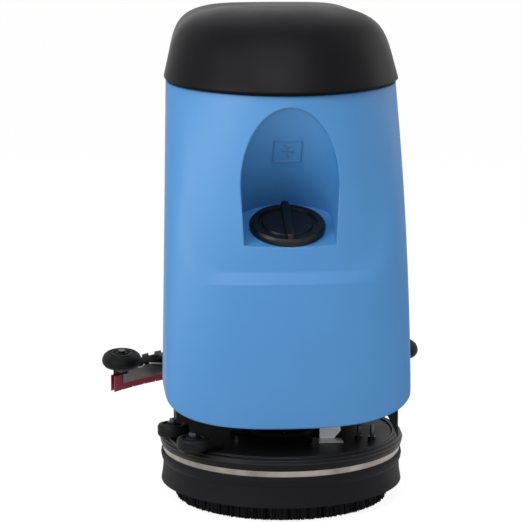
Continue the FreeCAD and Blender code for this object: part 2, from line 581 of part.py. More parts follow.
def deck_bolts():
    """Studs with nuts standing on the deck, and the roller spindles with their heads."""
    def stud(x, y, h):
        hexagon = [(x + 9 * math.cos(math.radians(a)), y + 9 * math.sin(math.radians(a)))
                   for a in range(0, 360, 60)]
        return join(rod(5, (x, y, PAN_TOP), (x, y, PAN_TOP + h)),
                    prism_z(hexagon, PAN_TOP, PAN_TOP + 8))
    studs = [stud(168, -96, 30), stud(196, -108, 34), stud(-112, -120, 20), stud(60, -150, 20)]
    spindles = []
    for x, y in (ROLLER_SIDE, ROLLER_FRONT):
        top = ROLLER_Z + ROLLER_H
        spindles.append(join(rod(ROLLER_PIN_R, (x, y, ROLLER_Z - 1), (x, y, top + 6)),
                             rod(13, (x, y, top + 1), (x, y, top + 4)),
                             rod(9, (x, y, top + 3), (x, y, top + 11))))
    return Part.makeCompound(studs + spindles)


def roller_bracket():
    """Black strap on the deck that carries the two bumper rollers."""
    (x1, y1), (x2, y2) = ROLLER_SIDE, ROLLER_FRONT
    z0, z1 = PAN_TOP + 2, ROLLER_Z - 1
    pads = [rod(24, (x, y, z0), (x, y, z1)) for x, y in (ROLLER_SIDE, ROLLER_FRONT)]
    strap = prism_z([(x1 - 12, y1 - 20), (x1 + 60, y1 + 20), (x2 + 70, y2 + 40), (x2 - 16, y2 - 16)], z0, z1)
    return join(strap, *pads)


def bumper_roller(x, y):
    h = ROLLER_H
    return lathe([(ROLLER_PIN_R + RUN, 0), (ROLLER_R - 3, 0), (ROLLER_R, 4), (ROLLER_R, h - 6),
                  (ROLLER_R - 2.5, h - 1.5), (ROLLER_R - 7, h), (24, h), (22, h - 3), (16, h - 3),
                  (14, h), (ROLLER_PIN_R + RUN, h)], x, y, ROLLER_Z)


def brush_hub():
    plate = lathe([(0, BLOCK_TOP), (78, BLOCK_TOP), (82, BLOCK_TOP + 4), (82, BLOCK_TOP + 9),
                   (74, BLOCK_TOP + 14), (22, BLOCK_TOP + 16), (18, 128), (0, 128)])
    return join(plate, rod(DRIVE_SHAFT_R, (0, 0, 120), (0, 0, 160)))


def brush_block():
    return lathe([(40, BRISTLE_TOP), (BRUSH_R - 4, BRISTLE_TOP), (BRUSH_R + 1, BRISTLE_TOP + 5),
                  (BRUSH_R + 1, BLOCK_TOP - 6), (BRUSH_R - 8, BLOCK_TOP), (40, BLOCK_TOP)])


def brush_bristles():
    return lathe([(92, 0), (BRUSH_R - 20, 0), (BRUSH_R - 11, 3), (BRUSH_R - 4, 11), (BRUSH_R - 1, 24),
                  (BRUSH_R - 6, BRISTLE_TOP), (86, BRISTLE_TOP), (80, 30), (84, 8)])


# =================================================================================== squeegee ====
def park(shape):
    """From the lowered, straight-ahead place to the raised, slightly swung place it rests in."""
    parked = shape.copy()
    parked.rotate(V(0, SQ_SWIVEL_Y, 0), AXIS_Z, SQ_SWING)
    return hang(parked)


def hang(shape):
    """The head hangs back on its carrier hinge as the arm lifts it."""
    hung = shape.copy()
    hung.rotate(V(0, CARRIER_Y, CARRIER_Z), AXIS_X, -SQ_DROOP)
    return raise_arm(hung)


def raise_arm(shape):
    raised = shape.copy()
    raised.rotate(V(0, ARM_PIVOT_Y, ARM_PIVOT_Z), AXIS_X, SQ_LIFT)
    return raised


def on_arc(r, degrees, centre_y=SQ_CENTRE_Y):
    t = math.radians(degrees)
    return r * math.sin(t), centre_y + r * math.cos(t)


def arc_bar(r0, r1, z0, z1, half_angle, middle=0.0, centre_y=SQ_CENTRE_Y):
    """Curved bar that follows the squeegee; angles in degrees from the centre line."""
    def point(r, degrees):
        return V(*on_arc(r, degrees, centre_y), z0)
    a, b = middle - half_angle, middle + half_angle
    arcs = [Part.Arc(point(r1, a), point(r1, middle), point(r1, b)).toShape(),
            Part.makeLine(point(r1, b), point(r0, b)),
            Part.Arc(point(r0, b), point(r0, middle), point(r0, a)).toShape(),
            Part.makeLine(point(r0, a), point(r1, a))]
    return Part.Face(Part.Wire(arcs)).extrude(V(0, 0, z1 - z0))


def front_bar(out0, out1, z0, z1, half_angle, middle=0.0):
    """Bar along the flatter front arc, given as distances outward from the front blade's inner face."""
    return arc_bar(FRONT_R - out1, FRONT_R - out0, z0, z1, half_angle, middle, FRONT_CENTRE_Y)


def squeegee_arm():
    bar = link_bar(38, 46, (ARM_PIVOT_Y, ARM_PIVOT_Z), (CARRIER_Y, CARRIER_Z), 12)
    brace = rod(8, (-46, 440, 140), (46, 440, 140))
    ends = [(ARM_PIN_R, ARM_PIVOT_Y, ARM_PIVOT_Z, 66), (CARRIER_PIN_R, CARRIER_Y, CARRIER_Z, 50)]
    pins = [rod(r, (-x, y, z), (x, y, z)) for r, y, z, x in ends]
    return raise_arm(join(bar, bar.mirror(ORIGIN, AXIS_X), brace, *pins))


def squeegee_carrier():
    block = prism_x([(548, 94), (548, 112), (556, 118), (616, 118), (622, 112), (622, 88.3), (572, 88.3)],
                    -36, 36)
    block = fillet_where(block, 10.0, lambda e: e.BoundBox.YMin > 615 and e.BoundBox.ZLength > 20)
    bolt = rod(SWIVEL_R, (0, SQ_SWIVEL_Y, 60), (0, SQ_SWIVEL_Y, 90))
    head = rod(16, (0, SQ_SWIVEL_Y, 117), (0, SQ_SWIVEL_Y, 126))
    bore = rod(CARRIER_PIN_R + RUN, (-40, CARRIER_Y, CARRIER_Z), (40, CARRIER_Y, CARRIER_Z))
    return hang(join(block, bolt, head).cut(bore))


def squeegee_body():
    """Crescent-shaped head: thick in the middle where the suction spigot stands, thin at the ends."""
    bar = arc_bar(SQ_R - 30, SQ_R + 11.4, HEAD_LOW, HEAD_TOP, 37.5)
    bar = bar.cut(front_bar(-0.4, 80, HEAD_LOW - 1, HEAD_TOP + 1, 60))
    tongue = prism_z([(-110, 655), (-34, SQ_SWIVEL_Y - 18), (-20, SQ_SWIVEL_Y - 28), (20, SQ_SWIVEL_Y - 28),
                      (34, SQ_SWIVEL_Y - 18), (110, 655)], HEAD_TOP, HEAD_TOP + 8)
    boss = rod(26, (0, SQ_SWIVEL_Y, HEAD_TOP), (0, SQ_SWIVEL_Y, 88))
    y = SQ_MID_Y + 2
    spigot = join(rod(24, (0, y, HEAD_TOP - 0.5), (0, y, 92)), rod(20, (0, y, 88), (0, y, 130)))
    arms, axles = [], []
    for s in (-1, 1):
        sx, sy = on_arc(SQ_R - SUPPORT_IN, s * SUPPORT_ANGLE)
        end = FRONT_CENTRE_Y + math.sqrt(FRONT_R ** 2 - (sx - 13) ** 2) + 5
        arm = [(sy - 11, 18), (sy + 12, 18), (sy + 22, 32), (sy + 22, HEAD_TOP - 0.5),
               (end, HEAD_TOP - 0.5), (end, HEAD_TOP + 6), (sy - 11, HEAD_TOP + 6)]
        arms.append(prism_x(arm, sx - 15, sx - 11))
        axles.append(rod(6, (sx - 15, sy, SUPPORT_R + 0.3), (sx + 13, sy, SUPPORT_R + 0.3)))
        bx, by = on_arc(SQ_R - BUMPER_IN, s * BUMPER_ANGLE)
        arms.append(rod(17, (bx, by, HEAD_TOP - 0.5), (bx, by, HEAD_TOP + 2)))
    whole = join(bar, tongue, boss, spigot, *(arms + axles))
    whole = whole.cut(rod(17, (0, y, HEAD_LOW - 1), (0, y, 140)))
    return park(whole.cut(rod(SWIVEL_R + RUN, (0, SQ_SWIVEL_Y, 50), (0, SQ_SWIVEL_Y, 95))))


def blade_front():
    blade = front_bar(0.0, BLADE_T, 0.3, BLADE_TOP, 35.1)
    notches = [front_bar(-2, 6, -2, 4, 0.12, m) for m in range(-33, 34, 3)]
    return park(blade.cut(Part.makeCompound(notches)))


def blade_rear():
    return park(arc_bar(SQ_R + 11.8, SQ_R + 11.8 + BLADE_T, 0.3, BLADE_TOP, 38.6))


def squeegee_clamps():
    """Steel strips that clamp the blades, and the toothed latch strip standing on the head."""
    low, high = HEAD_LOW + 4, HEAD_TOP - 1
    front = front_bar(BLADE_T + SEAT, BLADE_T + SEAT + 2.5, low, high, 32.9)
    rear = arc_bar(SQ_R + 12.1 + BLADE_T, SQ_R + 17.6, low, high, 37.6)
    strip = arc_bar(SQ_R + 4, SQ_R + 7, HEAD_TOP, HEAD_TOP + 24, 31.5)
    teeth = [arc_bar(SQ_R, SQ_R + 10, HEAD_TOP + 17, HEAD_TOP + 30, 0.9, m)
             for m in (-30.6, -27, -23.4, -19.8, -16.2, 16.2, 19.8, 23.4, 27, 30.6)]
    middle = rod(33, (0, SQ_MID_Y + 2, HEAD_TOP - 1), (0, SQ_MID_Y + 2, HEAD_TOP + 30))
    strip = strip.cut(Part.makeCompound(teeth)).cut(middle)
    return park(Part.makeCompound([front, rear, strip]))


def squeegee_knobs():
    def knob(a):
        x, y = on_arc(SQ_R - 11, a)
        return lathe([(0, HEAD_TOP), (10, HEAD_TOP), (10, HEAD_TOP + 7), (13, HEAD_TOP + 10),
                      (14, HEAD_TOP + 22), (11, HEAD_TOP + 26), (0, HEAD_TOP + 26)], x, y)
    return park(Part.makeCompound([knob(-13), knob(13)]))


def bumper_bolts():
    bolts = []
    for s in (-1, 1):
        x, y = on_arc(SQ_R - BUMPER_IN, s * BUMPER_ANGLE)
        top = BUMPER_Z + BUMPER_H
        bolts.append(join(rod(8, (x, y, HEAD_TOP + 2), (x, y, top + 1)),
                          rod(14, (x, y, HEAD_TOP + 2), (x, y, BUMPER_Z - 1)),
                          rod(9, (x, y, top + 1), (x, y, top + 5))))
    return park(Part.makeCompound(bolts))


def bumper_wheel(side):
    r, h = BUMPER_R, BUMPER_H
    wheel = lathe([(8 + RUN, 0), (r - 14, 0), (r - 5, 4), (r - 1, 10), (r, 16), (r - 1, h - 16),
                   (r - 4, h - 9), (r - 10, h - 4), (35, h - 2), (33, h - 4), (30, h - 4), (28, h - 1), (22, h - 1),
                   (20, h - 4), (16, h - 4), (14, h), (8 + RUN, h)],
                  *on_arc(SQ_R - BUMPER_IN, side * BUMPER_ANGLE), BUMPER_Z)
    return park(wheel)


def support_wheel(side):
    w = SUPPORT_W / 2
    wheel = lathe([(6 + RUN, -w), (SUPPORT_R - 2, -w), (SUPPORT_R, -w + 3), (SUPPORT_R, w - 3),
                   (SUPPORT_R - 2, w), (6 + RUN, w)])
    x, y = on_arc(SQ_R - SUPPORT_IN, side * SUPPORT_ANGLE)
    return park(lay(wheel, AXIS_Y, 90, V(x, y, SUPPORT_R + 0.3)))


# ==================================================================================== console ====
def on_panel(shape, x=0.0, y=0.0):
    """Put a piece made with its face up at the origin onto the sloping control panel."""
    return lay(shape.translated(V(x, y, 0)), AXIS_X, PANEL_TILT, PANEL_MID)


def control_console():
    outline = [(0.4, 770), (0.4, 950), (33, 968), (195, 912), (207, 880), (115, 800), (55, 770)]
    shell = prism_x([(TANK_REAR_Y + y, z) for y, z in outline], -CONSOLE_HALF_W, CONSOLE_HALF_W)
    shell = fillet_where(shell, 12.0, lambda e: e.BoundBox.XLength > CONSOLE_HALF_W
                         and e.BoundBox.YMin > TANK_REAR_Y + 25)
    shell = shell.cut(on_panel(rod(13 + RUN, (0, 0, -26), (0, 0, 2)), -118, 10))
    shell = shell.cut(on_panel(rod(13 + RUN, (0, 0, -26), (0, 0, 2)), 118, 10))
    for x in (-58, -14):
        shell = shell.cut(on_panel(box(x - 12.3, x + 12.3, 10 - 17, 10 + 17, -22, 2)))
        shell = shell.cut(on_panel(rod(2 + RUN, (x - 14.3, 10, -3), (x + 14.3, 10, -3))))
    shell = shell.cut(on_panel(box(28, 82, -12, 32, -3, 2)))
    return shell.cut(rod(LEVER_PIN_R + RUN, (140, LEVER_Y, LEVER_Z), (170, LEVER_Y, LEVER_Z)))


def display_lens():
    return on_panel(box(28.3, 81.7, -11.7, 31.7, -3, 1.5))


def key_switch():
    key = join(rod(13, (0, 0, -24), (0, 0, 4)), box(-2, 2, -13, 13, 3, 26))
    return on_panel(key, -118, 10)


def water_knob():
    knob = join(rod(13, (0, 0, -24), (0, 0, 1)), rod(20, (0, 0, 0.6), (0, 0, 16)),
                box(-3, 3, -20, 20, 15, 22))
    return on_panel(knob, 118, 10)


def rocker(x):
    """Rocker button, narrower below its pivot so that it can tip inside its window."""
    body = prism_x([(-15.5, -0.5), (-11, -13), (11, -13), (15.5, -0.5), (15.5, 5), (0, 2)], -12, 12)
    return on_panel(join(body, rod(2, (-14, 0, -3), (14, 0, -3))), x, 10)


def handle_bar():
    parts = []
    for s in (-1, 1):
        x = s * TUBE_X
        parts.append(rod(HANDLE_R, (x, 652, 879), (x, HANDLE_Y, HANDLE_Z)))
        parts.append(rod(HANDLE_R + 7, (x, 638, 875.8), (x, 680, 885.4)))
    bar = rod(HANDLE_R, (-HANDLE_HALF_W, HANDLE_Y, HANDLE_Z), (HANDLE_HALF_W, HANDLE_Y, HANDLE_Z))
    whole = join(bar, *parts).cut(control_console())
    return whole.cut(rod(BAIL_PIN_R + RUN, (-145, BAIL_Y, BAIL_Z), (145, BAIL_Y, BAIL_Z)))


def handle_grips():
    parts = []
    for s in (-1, 1):
        a, b = s * 30, s * (TUBE_X - HANDLE_R - 4)
        parts.append(pipe(HANDLE_R + 4, HANDLE_R + SEAT, (a, HANDLE_Y, HANDLE_Z), (b, HANDLE_Y, HANDLE_Z)))
    return Part.makeCompound(parts)


def drive_bail():
    x, tip_y, tip_z = 126.0, 842.0, 884.0
    arms = [rod(5, (s * x, BAIL_Y, BAIL_Z), (s * x, tip_y, tip_z)) for s in (-1, 1)]
    pins = [rod(BAIL_PIN_R, (s * (x - 4), BAIL_Y, BAIL_Z), (s * 144, BAIL_Y, BAIL_Z)) for s in (-1, 1)]
    bar = rod(5, (-x, tip_y, tip_z), (x, tip_y, tip_z))
    ends = [Part.makeSphere(5, V(s * x, y, z)) for s in (-1, 1)
            for y, z in ((tip_y, tip_z), (BAIL_Y, BAIL_Z))]
    return join(bar, *(arms + pins + ends))


def squeegee_lever():
    arm = link_bar(168, 176, (LEVER_Y, LEVER_Z), (LEVER_Y + 70, LEVER_Z + 80), 10)
    pin = rod(LEVER_PIN_R, (142, LEVER_Y, LEVER_Z), (170, LEVER_Y, LEVER_Z))
    knob = Part.makeSphere(16, V(190, LEVER_Y + 70, LEVER_Z + 80))
    neck = rod(7, (170, LEVER_Y + 70, LEVER_Z + 80), (190, LEVER_Y + 70, LEVER_Z + 80))
    return join(arm, pin, knob, neck)


def tank_spigots():
    def spigot(x, z, r):
        y = TANK_REAR_Y + 0.4
        body = join(rod(r + 12, (x, y, z), (x, y + 6, z)), rod(r, (x, y, z), (x, y + 58, z)))
        return body.cut(rod(r - 4, (x, y + 8, z), (x, y + 60, z)))
    return Part.makeCompound([spigot(128, 700, 22), spigot(-128, 660, 24)])


def vacuum_motor():
    y = TANK_REAR_Y + 0.4
    base = box(-52, 52, y, y + 60, 600, 726)
    can = join(rod(58, (0, y + 60, 596), (0, y + 60, 700)), rod(50, (0, y + 60, 698), (0, y + 60, 728)))
    grooves = [pipe(62, 55, (0, y + 60, z), (0, y + 60, z + 4)) for z in (616, 632, 648, 664)]
    grooves = [g.common(box(-80, 80, y + 60, y + 140, 590, 740)) for g in grooves]
    return join(base, can).cut(Part.makeCompound(grooves))


# ===================================================================================== export ====
def pieces():
    made = {
        "chassis_frame": chassis_frame(), "chassis_shroud": chassis_shroud(),
        "body_tank": body_tank(), "tank_gasket": tank_gasket(), "float_cage": float_cage(),
        "hinge_leaf_tank": hinge_leaf_tank(),
        "battery_left": battery(-184, -6), "battery_right": battery(6, 184),
        "transaxle": transaxle(), "control_console": control_console(), "display_lens": display_lens(),
        "handle_bar": handle_bar(), "handle_grips": handle_grips(), "tank_spigots": tank_spigots(),
        "vacuum_motor": vacuum_motor(),
        "tank_lid": tank_lid(), "hinge_leaf_lid": hinge_leaf_lid(), "fill_cap": fill_cap(),
        "lift_arms": lift_arms(), "lift_pedal": lift_pedal(), "upper_arms": upper_arms(),
        "deck_pan": deck_pan(), "deck_band": deck_band(), "deck_skirt": deck_skirt(),
        "brush_motor": brush_motor(), "motor_plate": motor_plate(), "deck_bracket": deck_bracket(),
        "deck_bolts": deck_bolts(), "roller_bracket": roller_bracket(),
        "brush_hub": brush_hub(), "brush_block": brush_block(), "brush_bristles": brush_bristles(),
        "bumper_roller_side": bumper_roller(*ROLLER_SIDE),
        "bumper_roller_front": bumper_roller(*ROLLER_FRONT),
        "squeegee_arm": squeegee_arm(), "squeegee_carrier": squeegee_carrier(),
        "squeegee_body": squeegee_body(),
        "squeegee_clamps": squeegee_clamps(), "blade_front": blade_front(), "blade_rear": blade_rear(),
        "squeegee_knobs": squeegee_knobs(), "bumper_bolts": bumper_bolts(),
        "key_switch": key_switch(), "water_knob": water_knob(), "rocker_brush": rocker(-58),
        "rocker_vacuum": rocker(-14), "drive_bail": drive_bail(), "squeegee_lever": squeegee_lever(),
    }
    for name, side in (("left", -1), ("right", 1)):
        made["wheel_hub_" + name], made["tyre_" + name] = drive_wheel(side)
        made["caster_fork_" + name] = caster_fork(side)
        made["caster_wheel_" + name] = caster_wheel(side)
        made["bumper_wheel_" + name] = bumper_wheel(side)
        made["support_wheel_" + name] = support_wheel(side)
    return made


def export():
    os.makedirs("parts", exist_ok=True)
    for name, shape in pieces().items():
        shape.translated(V(0, BRUSH_AXIS_Y, 0)).exportStep("parts/" + name + ".step")


export()
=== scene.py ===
"""Finishes, small fittings and studio for a walk-behind wet and dry floor scrubber."""
import math
import random

import bmesh
import bpy
from mathutils import Matrix, Vector


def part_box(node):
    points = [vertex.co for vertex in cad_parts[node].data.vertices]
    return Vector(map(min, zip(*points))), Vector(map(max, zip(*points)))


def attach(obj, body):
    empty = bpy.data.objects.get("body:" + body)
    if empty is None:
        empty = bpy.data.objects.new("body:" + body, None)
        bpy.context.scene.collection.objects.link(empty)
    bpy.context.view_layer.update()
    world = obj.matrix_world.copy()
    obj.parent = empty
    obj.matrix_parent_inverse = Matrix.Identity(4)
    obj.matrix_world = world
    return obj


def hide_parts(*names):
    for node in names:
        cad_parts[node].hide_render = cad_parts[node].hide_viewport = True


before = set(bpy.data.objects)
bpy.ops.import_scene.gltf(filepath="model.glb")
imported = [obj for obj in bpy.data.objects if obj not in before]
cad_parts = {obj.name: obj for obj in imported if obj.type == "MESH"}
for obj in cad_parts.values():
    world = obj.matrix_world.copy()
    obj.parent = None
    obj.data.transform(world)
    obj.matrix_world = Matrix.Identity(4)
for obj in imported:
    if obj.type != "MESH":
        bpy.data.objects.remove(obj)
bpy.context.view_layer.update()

MM = 0.001
# Places along the machine in mm: the brush axis, and what stands at a known distance behind it.
BRUSH_AXIS_Y = -296.0
AXLE_Y = 322 + BRUSH_AXIS_Y
LID_REAR_Y = 434.3 + BRUSH_AXIS_Y
TANK_REAR_Y = 445.0 + BRUSH_AXIS_Y
PANEL_MIDDLE = (0, 559 + BRUSH_AXIS_Y, 940)
scene = bpy.context.scene
scene.view_settings.view_transform = "Standard"


# ------------------------------------------------------------------------------------- helpers
def colour(hex_text):
    """sRGB hex such as "4F93D2" to linear RGBA."""
    channels = [int(hex_text[i:i + 2], 16) / 255 for i in (0, 2, 4)]
    return [c / 12.92 if c <= 0.04045 else ((c + 0.055) / 1.055) ** 2.4 for c in channels] + [1.0]


def add(tree, kind, inputs=None, **settings):
    """Adds a node with its settings; inputs are values, or the sockets that feed it."""
    made = tree.nodes.new(kind)
    for key, value in settings.items():
        setattr(made, key, value)
    for key, value in (inputs or {}).items():
        if isinstance(value, bpy.types.NodeSocket):
            tree.links.new(value, made.inputs[key])
        else:
            made.inputs[key].default_value = value
    return made


def finish(name, dark, light, rough, patch_mm, grain_mm, grain_depth_mm, rough_spread=0.05,
           wave_mm=0, wave_depth_mm=0, edge_mm=0, **sockets):
    """A surface whose colour drifts between two hexes over patch_mm, with a grain pressed into it.

    wave_mm adds slow unevenness of the moulding, and edge_mm rounds the light over its edges.
    """
    made = bpy.data.materials.new(name)
    made.use_nodes = True
    tree = made.node_tree
    tree.nodes.clear()
    place = add(tree, "ShaderNodeTexCoord").outputs["Object"]
    patches = add(tree, "ShaderNodeTexNoise", {"Vector": place, "Scale": 1000 / patch_mm, "Detail": 4.0})
    tint = add(tree, "ShaderNodeMix", {"Factor": patches.outputs["Fac"], 6: colour(dark),
                                       7: colour(light)}, data_type="RGBA")
    grain = add(tree, "ShaderNodeTexNoise", {"Vector": place, "Scale": 1000 / grain_mm, "Detail": 2.0})
    shine = add(tree, "ShaderNodeMapRange", {"Value": patches.outputs["Fac"], "From Min": 0.3,
                                             "From Max": 0.7, "To Min": rough - rough_spread,
                                             "To Max": rough + rough_spread})
    relief = add(tree, "ShaderNodeBump", {"Height": grain.outputs["Fac"],
                                          "Distance": grain_depth_mm * MM, "Strength": 1.0})
    if edge_mm:
        rounded = add(tree, "ShaderNodeBevel", {"Radius": edge_mm * MM}, samples=6)
        tree.links.new(rounded.outputs["Normal"], relief.inputs["Normal"])
    if wave_mm:
        swell = add(tree, "ShaderNodeTexNoise", {"Vector": place, "Scale": 1000 / wave_mm, "Detail": 1.0})
        relief = add(tree, "ShaderNodeBump", {"Height": swell.outputs["Fac"], "Strength": 1.0,
                                              "Distance": wave_depth_mm * MM,
                                              "Normal": relief.outputs["Normal"]})
    shader = add(tree, "ShaderNodeBsdfPrincipled", {"Base Color": tint.outputs[2],
                                                    "Roughness": shine.outputs["Result"],
                                                    "Normal": relief.outputs["Normal"], **sockets})
    add(tree, "ShaderNodeOutputMaterial", {"Surface": shader.outputs["BSDF"]})
    return made


# ----------------------------------------------------------------------------------- materials
# Rotomoulded polyethylene: even colour, soft broad sheen, faint orange peel and slow waves.
tank_blue = finish("rotomoulded_blue_polyethylene", "3277B2", "3F85BF", 0.56, 170, 2.4, 0.04,
                   wave_mm=150, wave_depth_mm=0.7, edge_mm=6, **{"IOR": 1.54, "Specular IOR Level": 0.7})
# Black rotomoulded polyethylene: its dull skin follows the form with a low grey sheen.
lid_black = finish("rotomoulded_black_polyethylene", "08080B", "0D0D10", 0.42, 120, 2.0, 0.05,
                   wave_mm=110, wave_depth_mm=0.7, edge_mm=4, **{"IOR": 1.54, "Specular IOR Level": 0.08})
# Injection moulded ABS: darker and tighter than the tank, with a fine spark-eroded texture.
moulded_black = finish("moulded_black_abs", "08080A", "0D0D10", 0.38, 60, 0.9, 0.02,
                       **{"IOR": 1.53, "Specular IOR Level": 0.22})
# Natural polypropylene: milky, slightly waxy.
natural_white = finish("natural_polypropylene", "C9CBC6", "DADBD6", 0.45, 40, 1.2, 0.02, IOR=1.49)
# Powder coated steel: deep black with the fine pebble of the baked powder.
powder_black = finish("powder_coated_steel", "0A0A0B", "111112", 0.48, 50, 0.8, 0.04,
                      **{"IOR": 1.5, "Specular IOR Level": 0.12})
# Sand cast aluminium under satin black: rougher pebble, softer edges to the light.
cast_black = finish("painted_cast_aluminium", "08080A", "0F0F11", 0.46, 70, 1.4, 0.06,
                    **{"IOR": 1.5, "Specular IOR Level": 0.12})
# Blackened steel fasteners: nearly black, with sharp glints on their corners.
black_steel = finish("blackened_steel", "3A3A3D", "55565A", 0.24, 12, 0.5, 0.01, 0.06, Metallic=1.0)
# Zinc plated steel: pale, slightly clouded metal.
zinc_steel = finish("zinc_plated_steel", "A9ADB2", "C4C7CA", 0.30, 18, 0.5, 0.01, 0.08, Metallic=1.0)
# Rolled stainless strip: warm grey, its colour drifting from dark to light in patches as long as a hand is
# wide; the darker patches are painted reflection, standing for the uneven reflections along the band.
band_steel_painted_reflection = finish("rolled_stainless_painted_reflection", "4E4A47", "B4AEA8", 0.30, 60, 0.6, 0.01, 0.06,
                    Metallic=1.0)
# Stainless plate: dull, with a dark olive grey base colour that is painted shade, standing for the shade the
# clamp plates sit in.
mill_steel_painted_shade = finish("mill_stainless_painted_shade", "6B6A66", "84827D", 0.42, 22, 0.7, 0.01, 0.08,
                    Metallic=1.0)
# Black nitrile and EPDM rubber: dull, greyish where it catches the light.
rubber_black = finish("moulded_black_rubber", "050506", "0A0A0B", 0.56, 45, 0.9, 0.03, 0.07,
                      **{"IOR": 1.52, "Specular IOR Level": 0.14})
# Extruded EPDM skirting: greyer than the moulded rubber, with a bloom that dulls it.
skirt_rubber = finish("extruded_epdm_skirting", "101013", "161619", 0.62, 90, 1.2, 0.03, 0.05,
                      **{"IOR": 1.5, "Specular IOR Level": 0.1})
# Solid tyre rubber: greyer, with a dusty tread.
tyre_grey = finish("solid_tyre_rubber", "1A1A1B", "26262A", 0.66, 30, 1.1, 0.05, 0.06,
                   **{"IOR": 1.52, "Specular IOR Level": 0.15})
# Moulded nylon wheel centre: mid grey, satin.
hub_grey = finish("moulded_grey_nylon", "4A4C4F", "595B5E", 0.38, 40, 0.9, 0.02, IOR=1.53)
# Cast polyurethane blade: deep red, waxy, a little light in its edges.
blade_red = finish("cast_red_polyurethane", "8A1B2E", "9D2539", 0.38, 35, 0.7, 0.02,
                   **{"IOR": 1.5, "Subsurface Weight": 0.12, "Subsurface Scale": 0.002})
# Polypropylene bristle: black filament, catches thin lines of light.
bristle_black = finish("polypropylene_bristle", "09090A", "131314", 0.45, 3, 0.5, 0.01,
                       **{"IOR": 1.49, "Specular IOR Level": 0.1})
# Satin grey of a machined aluminium plate.
plate_grey = finish("machined_aluminium", "C4C5C8", "D6D7D9", 0.42, 20, 0.6, 0.01, Metallic=1.0)
# Smoked polycarbonate window.
smoked = finish("smoked_polycarbonate", "07090B", "0C0F12", 0.12, 40, 6.0, 0.01, 0.02, IOR=1.58)
# Pad-printed epoxy ink: flat and slightly soft at its edges.
printed_white = finish("pad_printed_white_ink", "C8CACA", "D6D8D8", 0.5, 12, 0.6, 0.005, IOR=1.5)
# Diffused light-emitting segments, unlit: milky green and amber resin.
segment_green = finish("milky_green_resin", "3F8F55", "4C9C60", 0.35, 8, 0.8, 0.004, IOR=1.52)
segment_amber = finish("milky_amber_resin", "B57A22", "C48A2E", 0.35, 8, 0.8, 0.004, IOR=1.52)

PAINT = {
    tank_blue: ["body_tank"],
    lid_black: ["tank_lid"],
    moulded_black: ["fill_cap", "control_console", "battery_left", "battery_right", "vacuum_motor",
                    "squeegee_knobs", "water_knob", "rocker_brush", "rocker_vacuum", "tank_spigots"],
    natural_white: ["float_cage"],
    powder_black: ["chassis_frame", "chassis_shroud", "lift_arms", "upper_arms", "deck_bracket",
                   "squeegee_arm", "handle_bar", "roller_bracket", "brush_motor", "transaxle"],
    cast_black: ["deck_pan", "squeegee_body", "squeegee_carrier"],
    black_steel: ["deck_bolts", "bumper_bolts"],
    zinc_steel: ["hinge_leaf_tank", "hinge_leaf_lid", "caster_fork_left", "caster_fork_right",
                 "key_switch", "drive_bail", "squeegee_lever", "brush_hub"],
    band_steel_painted_reflection: ["deck_band"],
    mill_steel_painted_shade: ["squeegee_clamps"],
    skirt_rubber: ["deck_skirt"],
    rubber_black: ["tank_gasket", "handle_grips", "lift_pedal", "bumper_roller_side",
                   "bumper_roller_front", "bumper_wheel_left", "bumper_wheel_right", "brush_block"],
    tyre_grey: ["tyre_left", "tyre_right", "caster_wheel_left", "caster_wheel_right",
                "support_wheel_left", "support_wheel_right"],
    hub_grey: ["wheel_hub_left", "wheel_hub_right"],
    blade_red: ["blade_front", "blade_rear"],
    bristle_black: ["brush_bristles"],
    plate_grey: ["motor_plate"],
    smoked: ["display_lens"],
}
for surface, names in PAINT.items():
    for name in names:
        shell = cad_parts[name]
        shell.data.materials.clear()
        shell.data.materials.append(surface)


# ------------------------------------------------------------------------------ small fittings
def place_piece(name, mesh, surface, body, smooth=False):
    """Puts a finished mesh in the scene, on the moving body that carries it."""
    piece = bpy.data.objects.new(name, mesh)
    scene.collection.objects.link(piece)
    mesh.materials.append(surface)
    if smooth:
        mesh.shade_smooth()
    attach(piece, body)
    return piece


def frame_on(origin, normal, up=(0, 0, 1)):
    """Matrix whose Z is the normal of a surface, for something that sits on it; origin in mm."""
    z = Vector(normal).normalized()
    x = Vector(up).cross(z)
    x = x.normalized() if x.length > 1e-6 else Vector((1, 0, 0))
    turned = Matrix((x, z.cross(x), z)).transposed().to_4x4()
    return Matrix.Translation(Vector(origin) * MM) @ turned


def revolve(bm, profile, placed, sides=20):
    """Turns a profile of (radius, height) in mm round the Z axis of the matrix it is placed by."""
    rings = []
    for radius, height in profile:
        if radius == 0:
            rings.append([bm.verts.new(placed @ Vector((0, 0, height * MM)))])
            continue
        turns = [2 * math.pi * k / sides for k in range(sides)]
        rings.append([bm.verts.new(placed @ Vector((radius * MM * math.cos(t), radius * MM * math.sin(t),
                                                    height * MM))) for t in turns])
    for lower, upper in zip(rings, rings[1:]):
        for k in range(sides):
            corners = [lower[k % len(lower)], lower[(k + 1) % len(lower)],
                       upper[(k + 1) % len(upper)], upper[k % len(upper)]]
            bm.faces.new(list(dict.fromkeys(corners)))


def slab_on(bm, outline, placed, thick_mm):
    """A flat outline in mm, raised from the surface it is placed on."""
    low = [bm.verts.new(placed @ Vector((x * MM, y * MM, 0))) for x, y in outline]
    top = [bm.verts.new(placed @ Vector((x * MM, y * MM, thick_mm * MM))) for x, y in outline]
    bm.faces.new(top)
    bm.faces.new(low[::-1])
    for k in range(len(outline)):
        n = (k + 1) % len(outline)
        bm.faces.new([low[k], low[n], top[n], top[k]])


def as_mesh(bm, name):
    """Turns the faces of a drawn shape outwards and returns its mesh."""
    bmesh.ops.recalc_face_normals(bm, faces=bm.faces)
    mesh = bpy.data.meshes.new(name)
    bm.to_mesh(mesh)
    bm.free()
    return mesh


